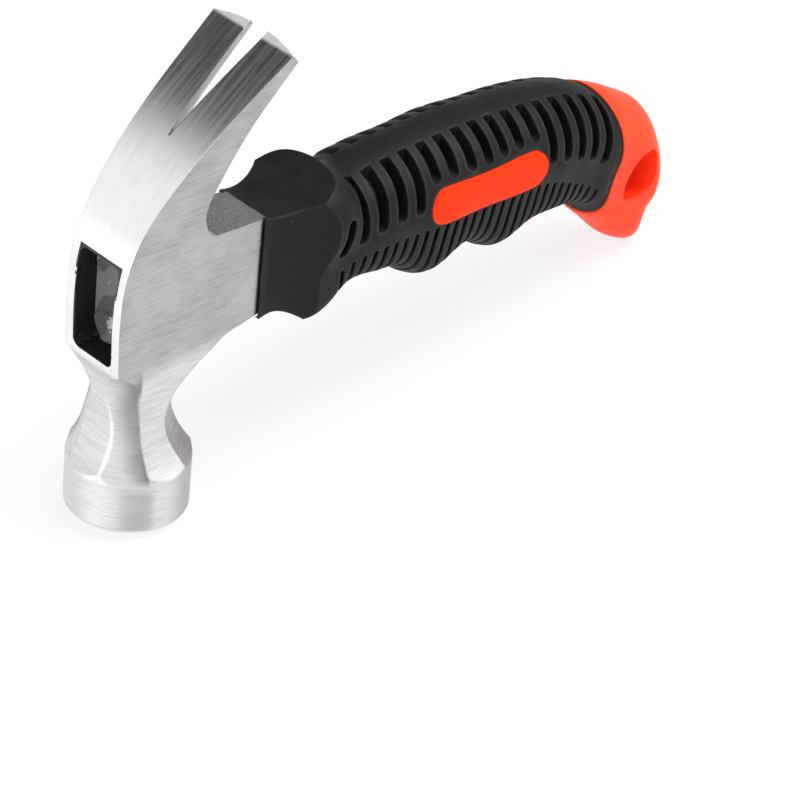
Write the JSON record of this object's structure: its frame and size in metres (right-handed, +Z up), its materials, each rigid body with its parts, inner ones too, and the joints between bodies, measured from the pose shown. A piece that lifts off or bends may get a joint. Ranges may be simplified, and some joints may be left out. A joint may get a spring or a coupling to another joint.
{
  "type": "claw hammer",
  "caption": "Stubby claw hammer with a forged steel head and a curved two-colour rubber and plastic grip with finger slots and a hanging hole.",
  "frame": {"origin": "on the floor under the middle of the bounding box, the hammer resting on the rear rim of its striking face and on the heel of the butt", "axes": "+X from the head towards the butt, +Y across the hammer, +Z up, with the claw on top"},
  "size_m": [0.1702, 0.0302, 0.1035],
  "materials": {
    "steel": "ground and brushed bare steel, unpolished in the hollow between claw and collar",
    "glass_fibre": "pultruded glass-fibre bar, hidden",
    "resin": "cured glossy black bonding resin",
    "orange_plastic": "satin moulded orange plastic",
    "black_rubber": "matte moulded black rubber"
  },
  "bodies": {
    "root": {"hammer_head": "steel", "handle_core": "glass_fibre", "eye_resin": "resin", "handle_body": "orange_plastic", "rubber_grip": "black_rubber"}
  },
  "joints": []
}
